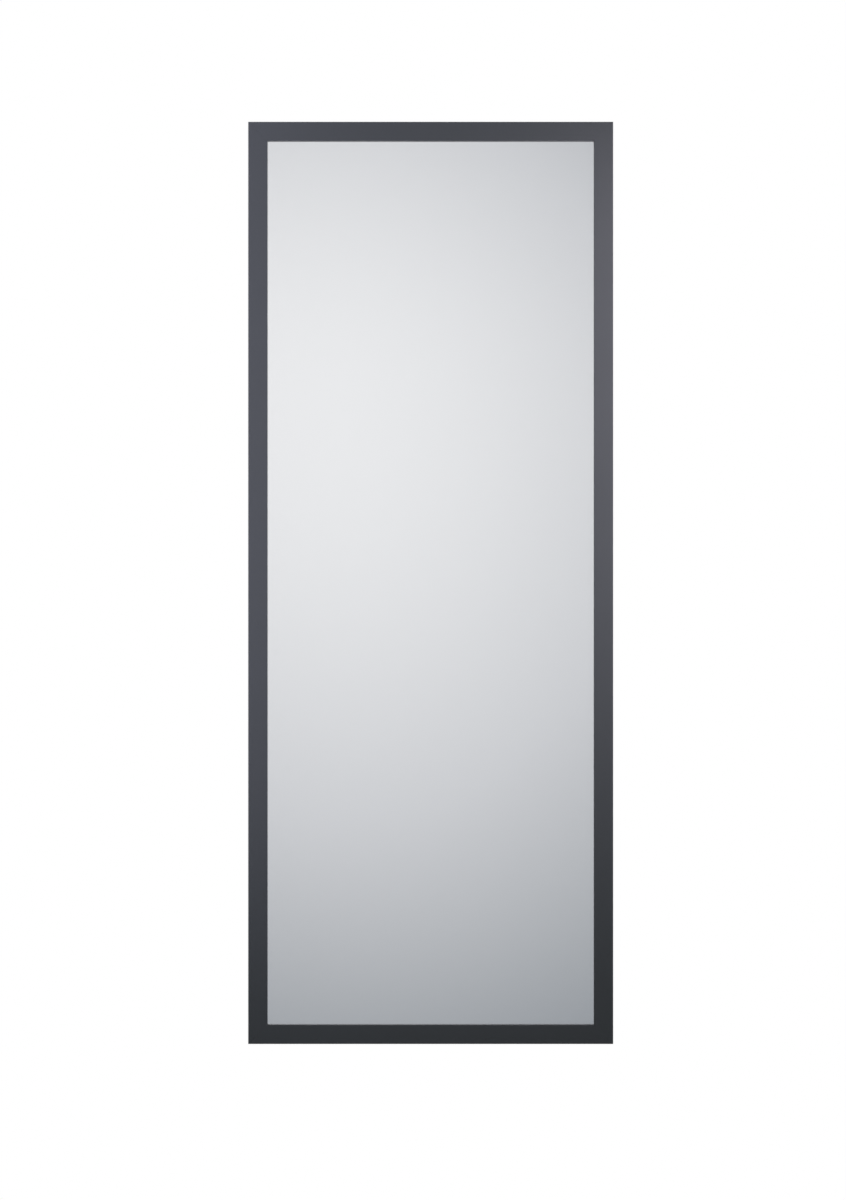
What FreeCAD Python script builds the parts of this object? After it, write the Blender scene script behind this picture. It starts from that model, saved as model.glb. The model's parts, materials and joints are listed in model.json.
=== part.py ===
"""Framed wall mirror, in millimetres.

The mirror faces -Y and hangs on a wall in the plane Y = 0, +X is to the right for someone
who stands in front of it, and +Z is up. The origin is the middle of the wall plane.
A frame of four mitred strips holds, from front to back, the glass with its silver layer,
a sheet of cardboard and a hardboard panel, which is held by turn buttons.
"""
import math
import os

import FreeCAD
import Part

Vector = FreeCAD.Vector

# Frame
FRAME_WIDTH = 655.0  # outside, along X
FRAME_HEIGHT = 1655.0  # outside, along Z
FACE_WIDTH = 34.5  # of one strip, seen from the front
LIP_DEPTH = 8.0  # of the strip in front of the glass
REBATE_WIDTH = 8.5  # how far the lip reaches over the rebate
OUTER_EDGE_RADIUS = 1.2
LIP_EDGE_RADIUS = 0.8
BACK_EDGE_RADIUS = 0.8

# What lies in the rebate, from front to back
GLASS_THICKNESS = 4.0
SILVER_THICKNESS = 0.1
CARDBOARD_THICKNESS = 2.9
PANEL_THICKNESS = 3.0
GLASS_EDGE_GAP = 1.5  # from glass to rebate, filled by the blocks and spacers
PANEL_EDGE_GAP = 1.0
PANEL_CORNER_RADIUS = 3.0
BLOCK_LENGTH = 60.0
SPACER_LENGTH = 30.0

# Corner nails, V-shaped in plan, driven in from the back across each mitre
NAIL_THICKNESS = 0.5
NAIL_WING = 4.5  # reach to each side of the mitre
NAIL_SWEEP = 2.5  # how far the wings slope back
NAIL_LENGTH = 10.0
NAILS_PER_CORNER = 2

# Wood screws with a pan head and a cross recess
SCREW_DIAMETER = 3.0
SCREW_POINT = 3.0
HEAD_SHOULDER = 1.7  # how far the head reaches past the shank
HEAD_RIM = 0.8  # straight part of the head's side
HEAD_DOME = 1.4
RECESS_LENGTH = 3.6
RECESS_WIDTH = 0.9
RECESS_DEPTH = 1.3
RECESS_TAPER = 0.6  # size of the recess at its bottom, against its mouth
PILOT_GAP = 0.05
BUTTON_SCREW_LENGTH = 10.0
HANGER_SCREW_LENGTH = 12.0

# Turn buttons
BUTTON_THICKNESS = 1.2
BUTTON_WIDTH = 10.0
BUTTON_OVERLAP = 8.0  # how far the tip reaches over the panel
BUTTON_HOLE_GAP = 0.2
SWIVEL_GAP = 0.1  # under the button, and between the button and the screw head
BUMPER_TO_BUTTON = 70.0  # from the bumper to the first button, along the stile
STILE_BUTTONS = 4
RAIL_BUTTONS = 2

# Hangers, a rolled strap with a D-shaped ring
STRAP_THICKNESS = 1.2
STRAP_WIDTH = 12.0
STRAP_HOLE_GAP = 0.1
STRAP_HOLE_SPACING = 14.0
STRAP_END = 6.0  # from the last hole to the end of the strap
STRAP_CORNER_RADIUS = 4.0
EYE_GAP = 0.2  # round the wire of the ring
EYE_SLIT_ANGLE = 15.0  # the roll ends this far below the level of its axis
RING_WIRE = 2.5
RING_SIDE_GAP = 2.0  # from the strap to the inside of the ring
RING_CORNER_RADIUS = 1.5  # inside the two bends at the straight side
RING_LEG = 3.5  # straight stretch between a bend and the bow
RING_TO_HEAD = 1.0  # from the folded ring to the head of the nearest screw
BUTTON_TO_HANGER = 90.0  # from the first button to the axis of the ring, along the stile

# Wall bumpers
BUMPER_HEIGHT = 6.0
BUMPER_DIAMETER = 12.0
BUMPER_TAPER = 0.75  # radius lost from the base to the tip
BUMPER_EDGE_RADIUS = 1.0
BUMPER_INSET = 60.0  # from the end of the stile

# Worked out from the above
REBATE_DEPTH = GLASS_THICKNESS + SILVER_THICKNESS + CARDBOARD_THICKNESS + PANEL_THICKNESS
FRAME_DEPTH = LIP_DEPTH + REBATE_DEPTH
LAND_WIDTH = FACE_WIDTH - REBATE_WIDTH  # flat back of one strip
LAND_MIDDLE = LAND_WIDTH / 2

BACK_Y = -BUMPER_HEIGHT
FRONT_Y = BACK_Y - FRAME_DEPTH
GLASS_Y = FRONT_Y + LIP_DEPTH
SILVER_Y = GLASS_Y + GLASS_THICKNESS
CARDBOARD_Y = SILVER_Y + SILVER_THICKNESS
PANEL_Y = CARDBOARD_Y + CARDBOARD_THICKNESS

HALF_WIDTH = FRAME_WIDTH / 2
HALF_HEIGHT = FRAME_HEIGHT / 2
GLASS_WIDTH = FRAME_WIDTH - 2 * (LAND_WIDTH + GLASS_EDGE_GAP)
GLASS_HEIGHT = FRAME_HEIGHT - 2 * (LAND_WIDTH + GLASS_EDGE_GAP)
PANEL_WIDTH = FRAME_WIDTH - 2 * (LAND_WIDTH + PANEL_EDGE_GAP)
PANEL_HEIGHT = FRAME_HEIGHT - 2 * (LAND_WIDTH + PANEL_EDGE_GAP)

SCREW_RADIUS = SCREW_DIAMETER / 2
HEAD_RADIUS = SCREW_RADIUS + HEAD_SHOULDER
HEAD_HEIGHT = HEAD_RIM + HEAD_DOME
BUTTON_INSET = BUMPER_INSET + BUMPER_TO_BUTTON  # from the end of a strip to its first button
BUTTON_Y = BACK_Y + SWIVEL_GAP
BUTTON_HEAD_Y = BUTTON_Y + BUTTON_THICKNESS + SWIVEL_GAP
BUTTON_REACH = LAND_MIDDLE + PANEL_EDGE_GAP + BUTTON_OVERLAP

WIRE_RADIUS = RING_WIRE / 2
EYE_INNER_RADIUS = WIRE_RADIUS + EYE_GAP
EYE_OUTER_RADIUS = EYE_INNER_RADIUS + STRAP_THICKNESS
RING_AXIS_Y = BACK_Y + EYE_OUTER_RADIUS
RING_AXIS_Z = HALF_HEIGHT - BUTTON_INSET - BUTTON_TO_HANGER
RING_HALF_WIDTH = STRAP_WIDTH / 2 + RING_SIDE_GAP + WIRE_RADIUS  # to the middle of the wire
RING_BEND = RING_CORNER_RADIUS + WIRE_RADIUS
RING_SHOULDER = RING_BEND + RING_LEG  # from the axis to the start of the bow
RING_DROP = RING_SHOULDER + RING_HALF_WIDTH  # from the axis to the middle of the bow's wire
RING_REACH = RING_DROP + WIRE_RADIUS
FIRST_STRAP_HOLE = RING_REACH + RING_TO_HEAD + HEAD_RADIUS
SECOND_STRAP_HOLE = FIRST_STRAP_HOLE + STRAP_HOLE_SPACING
STRAP_LENGTH = SECOND_STRAP_HOLE + STRAP_END
HANGER_X = HALF_WIDTH - LAND_MIDDLE
STRAP_HEAD_Y = BACK_Y + STRAP_THICKNESS

SIDES = ("left", "right", "top", "bottom")


def rounded_wire(corners):
    """Closed wire through (point, radius) corners, each rounded by a tangent arc."""
    stretches = []
    for index, (point, radius) in enumerate(corners):
        before = (corners[index - 1][0] - point).normalize()
        after = (corners[(index + 1) % len(corners)][0] - point).normalize()
        if radius == 0:
            stretches.append((point, point, point))
            continue
        half_angle = before.getAngle(after) / 2
        start = point + before * (radius / math.tan(half_angle))
        end = point + after * (radius / math.tan(half_angle))
        towards_centre = (before + after).normalize()
        middle = point + towards_centre * (radius / math.sin(half_angle) - radius)
        stretches.append((start, middle, end))
    edges = []
    for index, (start, middle, end) in enumerate(stretches):
        if start != end:
            edges.append(Part.Arc(start, middle, end).toShape())
        next_start = stretches[(index + 1) % len(stretches)][0]
        edges.append(Part.LineSegment(end, next_start).toShape())
    return Part.Wire(edges)


def slab(width, height, y, thickness, radius=0.0):
    """Upright rectangular sheet round the Y axis, with its front at y."""
    corners = []
    for x, z in ((-1, -1), (1, -1), (1, 1), (-1, 1)):
        corners.append((Vector(x * width / 2, y, z * height / 2), radius))
    return Part.Face(rounded_wire(corners)).extrude(Vector(0, thickness, 0))


def place(shape, side):
    """Move a piece that was made for one strip to its side of the frame.

    A strip is made lying along X, with its outer edge on Z = 0 and its inner edge above.
    """
    turns = {"bottom": 0, "left": 90, "top": 180, "right": -90}
    offsets = {
        "bottom": Vector(0, 0, -HALF_HEIGHT),
        "left": Vector(-HALF_WIDTH, 0, 0),
        "top": Vector(0, 0, HALF_HEIGHT),
        "right": Vector(HALF_WIDTH, 0, 0),
    }
    placed = shape.copy()
    placed.rotate(Vector(0, 0, 0), Vector(0, 1, 0), turns[side])
    placed.translate(offsets[side])
    return placed


def along(side, position):
    """Place on a strip, counted from the left on a rail and from the top on a stile."""
    return position if side in ("bottom", "left") else -position


def strip_length(side):
    return FRAME_HEIGHT if side in ("left", "right") else FRAME_WIDTH


def frame_strip(length):
    """Rebated strip with its ends cut to 45 degrees."""
    section = [
        (Vector(-length / 2, FRONT_Y, 0), OUTER_EDGE_RADIUS),
        (Vector(-length / 2, FRONT_Y, FACE_WIDTH), LIP_EDGE_RADIUS),
        (Vector(-length / 2, GLASS_Y, FACE_WIDTH), 0),
        (Vector(-length / 2, GLASS_Y, LAND_WIDTH), 0),
        (Vector(-length / 2, BACK_Y, LAND_WIDTH), 0),
        (Vector(-length / 2, BACK_Y, 0), BACK_EDGE_RADIUS),
    ]
    strip = Part.Face(rounded_wire(section)).extrude(Vector(length, 0, 0))
    mitred = [
        (Vector(-length / 2, FRONT_Y, 0), 0),
        (Vector(length / 2, FRONT_Y, 0), 0),
        (Vector(length / 2 - FACE_WIDTH, FRONT_Y, FACE_WIDTH), 0),
        (Vector(-length / 2 + FACE_WIDTH, FRONT_Y, FACE_WIDTH), 0),
    ]
    return strip.common(Part.Face(rounded_wire(mitred)).extrude(Vector(0, FRAME_DEPTH, 0)))


def v_nail(distance):
    """Nail on the mitre line of the upper right corner, in from both outer edges by a distance."""
    outward = Vector(1, 0, 1).normalize()
    across = Vector(1, 0, -1).normalize()
    ridge = Vector(HALF_WIDTH - distance, BACK_Y - NAIL_LENGTH, HALF_HEIGHT - distance)
    wing = outward * -NAIL_SWEEP
    thickness = outward * NAIL_THICKNESS
    corners = [
        (ridge + thickness, 0),
        (ridge + thickness + wing + across * NAIL_WING, 0),
        (ridge + wing + across * NAIL_WING, 0),
        (ridge, 0),
        (ridge + wing - across * NAIL_WING, 0),
        (ridge + thickness + wing - across * NAIL_WING, 0),
    ]
    return Part.Face(rounded_wire(corners)).extrude(Vector(0, NAIL_LENGTH, 0))


def corner_nails():
    """Nails of all four corners, spread evenly over the width of the land."""
    nails = []
    for number in range(1, NAILS_PER_CORNER + 1):
        upper_right = v_nail(LAND_WIDTH * number / (NAILS_PER_CORNER + 1))
        upper_left = upper_right.mirror(Vector(0, 0, 0), Vector(1, 0, 0))
        for nail in (upper_right, upper_left):
            nails.append(nail)
            nails.append(nail.mirror(Vector(0, 0, 0), Vector(0, 0, 1)))
    return nails


def shank(length, gap=0.0):
    """Pointed screw shank along -Y from the origin, or the pilot hole for it."""
    radius = SCREW_RADIUS + gap
    outline = [
        (Vector(0, 0, 0), 0),
        (Vector(radius, 0, 0), 0),
        (Vector(radius, SCREW_POINT - length, 0), 0),
        (Vector(0, -length - gap, 0), 0),
    ]
    return Part.Face(rounded_wire(outline)).revolve(Vector(0, 0, 0), Vector(0, 1, 0), 360)


def cross_wire(y, size):
    """Outline of the cross recess at one level."""
    length = size * RECESS_LENGTH / 2
    width = size * RECESS_WIDTH / 2
    quarter = [(length, -width), (length, width), (width, width)]
    corners = []
    for turn in range(4):
        for x, z in quarter:
            spot = FreeCAD.Rotation(Vector(0, 1, 0), -90 * turn).multVec(Vector(x, y, z))
            corners.append((spot, 0))
    return rounded_wire(corners)


def pan_head():
    """Domed screw head that stands on the plane Y = 0."""
    rim = Vector(HEAD_RADIUS, HEAD_RIM, 0)
    crown = Vector(0, HEAD_HEIGHT, 0)
    dome_radius = (HEAD_RADIUS ** 2 + HEAD_DOME ** 2) / (2 * HEAD_DOME)
    half_angle = math.asin(HEAD_RADIUS / dome_radius) / 2
    centre_y = HEAD_HEIGHT - dome_radius
    shoulder = Vector(dome_radius * math.sin(half_angle), centre_y + dome_radius * math.cos(half_angle), 0)
    edges = [
        Part.LineSegment(Vector(0, 0, 0), Vector(HEAD_RADIUS, 0, 0)).toShape(),
        Part.LineSegment(Vector(HEAD_RADIUS, 0, 0), rim).toShape(),
        Part.Arc(rim, shoulder, crown).toShape(),
        Part.LineSegment(crown, Vector(0, 0, 0)).toShape(),
    ]
    head = Part.Face(Part.Wire(edges)).revolve(Vector(0, 0, 0), Vector(0, 1, 0), 360)
    mouth = cross_wire(HEAD_HEIGHT, 1.0)
    floor = cross_wire(HEAD_HEIGHT - RECESS_DEPTH, RECESS_TAPER)
    return head.cut(Part.makeLoft([mouth, floor], True, True))


def screw(length):
    """Screw whose head stands on the plane Y = 0."""
    return pan_head().fuse(shank(length)).removeSplitter()


def turn_button():
    """Flat button with round ends, whose pivot is at the origin and whose tip points to +Z."""
    half = BUTTON_WIDTH / 2
    tip = BUTTON_REACH - half
    edges = [
        Part.LineSegment(Vector(half, 0, 0), Vector(half, 0, tip)).toShape(),
        Part.Arc(Vector(half, 0, tip), Vector(0, 0, tip + half), Vector(-half, 0, tip)).toShape(),
        Part.LineSegment(Vector(-half, 0, tip), Vector(-half, 0, 0)).toShape(),
        Part.Arc(Vector(-half, 0, 0), Vector(0, 0, -half), Vector(half, 0, 0)).toShape(),
    ]
    plate = Part.Face(Part.Wire(edges)).extrude(Vector(0, BUTTON_THICKNESS, 0))
    hole_radius = SCREW_RADIUS + BUTTON_HOLE_GAP
    hole = Part.makeCylinder(hole_radius, BUTTON_THICKNESS, Vector(0, 0, 0), Vector(0, 1, 0))
    return plate.cut(hole)


def button_places(side):
    """Evenly spaced positions of the turn buttons along one strip."""
    count = STILE_BUTTONS if side in ("left", "right") else RAIL_BUTTONS
    first = BUTTON_INSET - strip_length(side) / 2
    step = -2 * first / max(count - 1, 1)
    return [along(side, first + step * index) for index in range(count)]


def hanger_strap():
    """Strap that hangs down from its eye, whose axis lies along X over the origin."""
    outer = EYE_OUTER_RADIUS
    inner = EYE_INNER_RADIUS

    def on_eye(radius, angle):
        turn = math.radians(angle)
        return Vector(-STRAP_WIDTH / 2, outer + radius * math.sin(turn), -radius * math.cos(turn))

    start_angle = -90.0
    end_angle = -360.0 - EYE_SLIT_ANGLE
    middle_angle = (start_angle + end_angle) / 2
    far_back = Vector(-STRAP_WIDTH / 2, 0, -STRAP_LENGTH)
    far_front = Vector(-STRAP_WIDTH / 2, STRAP_THICKNESS, -STRAP_LENGTH)
    roll = [on_eye(outer, angle) for angle in (start_angle, middle_angle, end_angle)]
    bore = [on_eye(inner, angle) for angle in (end_angle, middle_angle, start_angle)]
    edges = [
        Part.LineSegment(far_back, roll[0]).toShape(),
        Part.Arc(*roll).toShape(),
        Part.LineSegment(roll[2], bore[0]).toShape(),
        Part.Arc(*bore).toShape(),
        Part.LineSegment(bore[2], far_front).toShape(),
        Part.LineSegment(far_front, far_back).toShape(),
    ]
    strap = Part.Face(Part.Wire(edges)).extrude(Vector(STRAP_WIDTH, 0, 0))
    half = STRAP_WIDTH / 2
    plan = [
        (Vector(-half, 0, outer), 0),
        (Vector(half, 0, outer), 0),
        (Vector(half, 0, -STRAP_LENGTH), STRAP_CORNER_RADIUS),
        (Vector(-half, 0, -STRAP_LENGTH), STRAP_CORNER_RADIUS),
    ]
    strap = strap.common(Part.Face(rounded_wire(plan)).extrude(Vector(0, 2 * outer, 0)))
    holes = []
    for drop in (FIRST_STRAP_HOLE, SECOND_STRAP_HOLE):
        hole_radius = SCREW_RADIUS + STRAP_HOLE_GAP
        holes.append(Part.makeCylinder(hole_radius, STRAP_THICKNESS, Vector(0, 0, -drop), Vector(0, 1, 0)))
    return strap.cut(holes)


def hanger_ring():
    """D-shaped wire ring that hangs down from its straight side, which lies along X on the origin."""
    middle = Vector(0, 0, 0)
    bow = Vector(0, 0, -RING_DROP)
    bend_inset = RING_BEND * (1 - math.sqrt(0.5))

    def half_ring(side):
        """Spots on one half, from the straight side round its bend and down its leg."""
        return (
            Vector(side * (RING_HALF_WIDTH - RING_BEND), 0, 0),
            Vector(side * (RING_HALF_WIDTH - bend_inset), 0, -bend_inset),
            Vector(side * RING_HALF_WIDTH, 0, -RING_BEND),
            Vector(side * RING_HALF_WIDTH, 0, -RING_SHOULDER),
        )

    right_start, right_bend, right_leg, right_bow = half_ring(1)
    left_start, left_bend, left_leg, left_bow = half_ring(-1)
    edges = [
        Part.LineSegment(middle, right_start).toShape(),
        Part.Arc(right_start, right_bend, right_leg).toShape(),
        Part.LineSegment(right_leg, right_bow).toShape(),
        Part.Arc(right_bow, bow, left_bow).toShape(),
        Part.LineSegment(left_bow, left_leg).toShape(),
        Part.Arc(left_leg, left_bend, left_start).toShape(),
        Part.LineSegment(left_start, middle).toShape(),
    ]
    path = Part.Wire(edges)
    section = Part.Wire(Part.Circle(middle, Vector(1, 0, 0), WIRE_RADIUS).toShape())
    return path.makePipeShell([section], True, False)


def wall_bumper():
    """Tapered rubber foot that stands on the plane Y = 0."""
    outline = [
        (Vector(0, 0, 0), 0),
        (Vector(BUMPER_DIAMETER / 2, 0, 0), 0),
        (Vector(BUMPER_DIAMETER / 2 - BUMPER_TAPER, BUMPER_HEIGHT, 0), BUMPER_EDGE_RADIUS),
        (Vector(0, BUMPER_HEIGHT, 0), 0),
    ]
    return Part.Face(rounded_wire(outline)).revolve(Vector(0, 0, 0), Vector(0, 1, 0), 360)


def edge_pieces(side, length):
    """Blocks or spacers between one edge of the glass and the rebate, at its quarter points."""
    pieces = []
    for direction in (-1, 1):
        middle = direction * strip_length(side) / 4
        corner = Vector(middle - length / 2, GLASS_Y, LAND_WIDTH)
        piece = Part.makeBox(length, GLASS_THICKNESS, GLASS_EDGE_GAP, corner)
        pieces.append(place(piece, side))
    return pieces


def moved(shape, x, y, z):
    copy = shape.copy()
    copy.translate(Vector(x, y, z))
    return copy


def write(node, shapes):
    """Write one piece, or a group of equal pieces, as its own file."""
    shape = shapes[0] if len(shapes) == 1 else Part.makeCompound(shapes)
    shape.exportStep("parts/" + node + ".step")


def main():
    os.makedirs("parts", exist_ok=True)
    nails = corner_nails()
    button = turn_button()
    button_screw = screw(BUTTON_SCREW_LENGTH)
    hanger_screw = screw(HANGER_SCREW_LENGTH)
    button_screws = []
    hanger_screws = []
    bores = {side: [] for side in SIDES}

    # Turn buttons on all four strips
    for side in SIDES:
        for number, position in enumerate(button_places(side), 1):
            write(
                "turn_button_" + side + "_" + str(number),
                [place(moved(button, position, BUTTON_Y, LAND_MIDDLE), side)],
            )
            button_screws.append(place(moved(button_screw, position, BUTTON_HEAD_Y, LAND_MIDDLE), side))
            pilot = moved(shank(BUTTON_SCREW_LENGTH, PILOT_GAP), position, BUTTON_HEAD_Y, LAND_MIDDLE)
            bores[side].append(place(pilot, side))
    write("turn_button_screws", button_screws)

    # Hangers and bumpers on the two stiles
    for side, x in (("left", -HANGER_X), ("right", HANGER_X)):
        write("hanger_strap_" + side, [moved(hanger_strap(), x, BACK_Y, RING_AXIS_Z)])
        write("hanger_ring_" + side, [moved(hanger_ring(), x, RING_AXIS_Y, RING_AXIS_Z)])
        for drop in (FIRST_STRAP_HOLE, SECOND_STRAP_HOLE):
            hanger_screws.append(moved(hanger_screw, x, STRAP_HEAD_Y, RING_AXIS_Z - drop))
            pilot = shank(HANGER_SCREW_LENGTH, PILOT_GAP)
            bores[side].append(moved(pilot, x, STRAP_HEAD_Y, RING_AXIS_Z - drop))
        for end, z in (("top", HALF_HEIGHT - BUMPER_INSET), ("bottom", BUMPER_INSET - HALF_HEIGHT)):
            write("wall_bumper_" + end + "_" + side, [moved(wall_bumper(), x, BACK_Y, z)])
    write("hanger_screws", hanger_screws)

    # Frame, with the seats of the nails and screws cut into its back
    names = {"left": "frame_stile_left", "right": "frame_stile_right"}
    names.update({"top": "frame_rail_top", "bottom": "frame_rail_bottom"})
    for side in SIDES:
        strip = place(frame_strip(strip_length(side)), side)
        write(names[side], [strip.cut(nails + bores[side])])
    write("corner_nails", nails)

    # What lies in the rebate
    write("mirror_glass", [slab(GLASS_WIDTH, GLASS_HEIGHT, GLASS_Y, GLASS_THICKNESS)])
    write("silver_layer", [slab(GLASS_WIDTH, GLASS_HEIGHT, SILVER_Y, SILVER_THICKNESS)])
    write("cardboard_sheet", [slab(GLASS_WIDTH, GLASS_HEIGHT, CARDBOARD_Y, CARDBOARD_THICKNESS)])
    write("back_panel", [slab(PANEL_WIDTH, PANEL_HEIGHT, PANEL_Y, PANEL_THICKNESS, PANEL_CORNER_RADIUS)])
    write("setting_blocks", edge_pieces("bottom", BLOCK_LENGTH))
    spacers = []
    for side in ("left", "right", "top"):
        spacers += edge_pieces(side, SPACER_LENGTH)
    write("edge_spacers", spacers)


main()
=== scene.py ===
import json

import bmesh
import bpy
import numpy as np
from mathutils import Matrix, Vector


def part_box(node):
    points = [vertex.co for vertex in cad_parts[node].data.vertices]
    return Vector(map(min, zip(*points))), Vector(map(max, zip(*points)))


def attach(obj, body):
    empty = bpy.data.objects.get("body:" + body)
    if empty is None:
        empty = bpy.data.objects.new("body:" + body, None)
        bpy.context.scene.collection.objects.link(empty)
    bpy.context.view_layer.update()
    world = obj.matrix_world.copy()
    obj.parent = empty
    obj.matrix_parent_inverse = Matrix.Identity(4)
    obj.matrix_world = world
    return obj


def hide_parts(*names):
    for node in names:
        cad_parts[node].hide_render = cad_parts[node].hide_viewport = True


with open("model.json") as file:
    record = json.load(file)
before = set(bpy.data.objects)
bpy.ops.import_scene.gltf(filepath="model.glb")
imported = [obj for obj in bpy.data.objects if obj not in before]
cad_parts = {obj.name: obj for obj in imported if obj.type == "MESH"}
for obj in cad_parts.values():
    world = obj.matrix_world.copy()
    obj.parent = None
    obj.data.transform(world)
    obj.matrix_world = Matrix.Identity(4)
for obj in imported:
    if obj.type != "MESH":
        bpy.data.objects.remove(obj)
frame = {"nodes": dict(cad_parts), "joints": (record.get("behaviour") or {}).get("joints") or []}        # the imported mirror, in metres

mm = 0.001
hair = 0.01 * mm  # room for rounding where places are compared
weld = 0.001 * mm  # points nearer than this become one
edgeAngle = 32  # degrees, a sharper fold shows as an edge
colourA, colourB, colourOut = 6, 7, 2  # sockets of a Mix node that mixes colours
numberA, numberB = 2, 3  # and of one that mixes numbers
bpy.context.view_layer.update()  # box of the bare frame
nodes = frame["nodes"]
pivots = {joint["child"]: Vector(joint["pos_m"]) for joint in frame["joints"]}
print("frame loaded:", len(nodes), "nodes,", len(pivots), "moving pieces")


def linearColour(hexText):
    # sRGB hex to linear red, green and blue, with full alpha
    channels = np.array([int(hexText[start:start + 2], 16) for start in (1, 3, 5)]) / 255
    linear = np.where(channels <= 0.04045, channels / 12.92, ((channels + 0.055) / 1.055) ** 2.4)
    return (*linear.tolist(), 1.0)


def scaleFor(size):
    # texture scale for a pattern of about this size in millimetres
    return 1 / (size * mm)


def addNode(tree, kind, settings=None, links=None):
    # small letters name the node's own settings, capitals and numbers name its sockets
    node = tree.nodes.new(kind)
    for name, value in (settings or {}).items():
        if isinstance(name, str) and name[0].islower():
            setattr(node, name, value)
        else:
            node.inputs[name].default_value = value
    for name, source in (links or {}).items():
        tree.links.new(source, node.inputs[name])
    return node


def newMaterial(name):
    # an empty node tree and its Object coordinates
    material = bpy.data.materials.new(name)
    material.use_nodes = True
    material.node_tree.nodes.clear()
    place = addNode(material.node_tree, "ShaderNodeTexCoord").outputs["Object"]
    return material, material.node_tree, place


def mottledTone(tree, place, first, second, size, detail):
    # a colour that drifts between two, in patches of about this many millimetres, and the patches
    patches = addNode(
        tree, "ShaderNodeTexNoise", {"Scale": scaleFor(size), "Detail": detail}, {"Vector": place}
    )
    tone = addNode(
        tree, "ShaderNodeMix",
        {"data_type": "RGBA", colourA: linearColour(first), colourB: linearColour(second)},
        {0: patches.outputs[0]},
    )
    return tone.outputs[colourOut], patches.outputs[0]


def crossedStreaks(tree, place, turns, length, width):
    # long thin noise laid in several directions on upright faces, and the strongest of them at each point
    size = (length * mm, width * mm, width * mm)
    strongest = None
    for turn in turns:
        lay = addNode(
            tree, "ShaderNodeMapping",
            {"vector_type": "TEXTURE", "Rotation": (0, np.radians(turn), 0), "Scale": size},
            {"Vector": place},
        )
        streak = addNode(
            tree, "ShaderNodeTexNoise", {"Scale": 1.0, "Detail": 2.0}, {"Vector": lay.outputs[0]}
        )
        if strongest is not None:
            streak = addNode(
                tree, "ShaderNodeMath", {"operation": "MAXIMUM"}, {0: strongest, 1: streak.outputs[0]}
            )
        strongest = streak.outputs[0]
    return strongest


def closeMaterial(tree, settings, links):
    # the shader with its own values and with what is linked to it, on the surface
    shader = addNode(tree, "ShaderNodeBsdfPrincipled", settings, links)
    addNode(tree, "ShaderNodeOutputMaterial", {}, {"Surface": shader.outputs[0]})


# in the finishes all sizes and depths are millimetres
foil = {
    "dark": "#484d52", "light": "#4c5156", "cloudSize": 120, "grainSize": 1.6, "roughness": (0.27, 0.33),
    "reliefStrength": 0.12, "reliefDepth": 0.05, "ior": 1.5,
}


def satinFoil():
    # anthracite decor foil pressed round the profile: even in tone, with a soft satin gloss
    # and a fine matt grain
    material, tree, place = newMaterial("satinAnthraciteFoil")
    tone, _ = mottledTone(tree, place, foil["dark"], foil["light"], foil["cloudSize"], detail=2.0)
    # the real grain is about 0.3 mm wide, drawn coarser so that it shows
    grain = addNode(
        tree, "ShaderNodeTexNoise", {"Scale": scaleFor(foil["grainSize"]), "Detail": 3.0}, {"Vector": place}
    )
    smooth, dull = foil["roughness"]
    gloss = addNode(
        tree, "ShaderNodeMapRange", {"To Min": smooth, "To Max": dull}, {"Value": grain.outputs[0]}
    )
    relief = addNode(
        tree, "ShaderNodeBump",
        {"Strength": foil["reliefStrength"], "Distance": foil["reliefDepth"] * mm},
        {"Height": grain.outputs[0]},
    )
    closeMaterial(
        tree, {"IOR": foil["ior"]},
        {"Base Color": tone, "Roughness": gloss.outputs[0], "Normal": relief.outputs[0]},
    )
    return material


fibreboard = {
    "pale": "#b4966f", "dark": "#a1825c", "fleck": "#7c5d3d", "fibreSize": 1.3, "fibreSpread": (0.35, 0.65),
    "fleckSize": 1.9, "fleckSpread": (0.62, 0.74), "fleckShare": 0.7, "reliefStrength": 0.35,
    "reliefDepth": 0.1, "roughness": 0.86, "ior": 1.5,
}


def rawFibreboard():
    # bare medium density fibreboard where the foil ends: even tan, dull, with fine felted fibres
    # and a few dark flecks
    material, tree, place = newMaterial("rawFibreboard")
    # real fibres are about 0.3 mm wide and flecks under 1 mm, both drawn coarser so that they show
    fibre = addNode(
        tree, "ShaderNodeTexNoise",
        {"Scale": scaleFor(fibreboard["fibreSize"]), "Detail": 4.0, "Roughness": 0.7}, {"Vector": place},
    )
    fleck = addNode(
        tree, "ShaderNodeTexNoise",
        {"Scale": scaleFor(fibreboard["fleckSize"]), "Detail": 2.0, "Distortion": 0.8}, {"Vector": place},
    )
    low, high = fibreboard["fibreSpread"]
    spread = addNode(
        tree, "ShaderNodeMapRange", {"From Min": low, "From Max": high}, {"Value": fibre.outputs[0]}
    )
    dark, pale = linearColour(fibreboard["dark"]), linearColour(fibreboard["pale"])
    ground = addNode(
        tree, "ShaderNodeMix", {"data_type": "RGBA", colourA: dark, colourB: pale}, {0: spread.outputs[0]}
    )
    low, high = fibreboard["fleckSpread"]
    sparse = addNode(
        tree, "ShaderNodeMapRange", {"From Min": low, "From Max": high, "To Max": fibreboard["fleckShare"]},
        {"Value": fleck.outputs[0]},
    )
    tone = addNode(
        tree, "ShaderNodeMix", {"data_type": "RGBA", colourB: linearColour(fibreboard["fleck"])},
        {0: sparse.outputs[0], colourA: ground.outputs[colourOut]},
    )
    relief = addNode(
        tree, "ShaderNodeBump",
        {"Strength": fibreboard["reliefStrength"], "Distance": fibreboard["reliefDepth"] * mm},
        {"Height": fibre.outputs[0]},
    )
    closeMaterial(
        tree, {"IOR": fibreboard["ior"], "Roughness": fibreboard["roughness"]},
        {"Base Color": tone.outputs[colourOut], "Normal": relief.outputs[0]},
    )
    return material


clearGlass = {"tint": "#ffffff", "waveSize": 240, "waveStrength": 0.5, "waveDepth": 0.02, "ior": 1.52}


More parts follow.
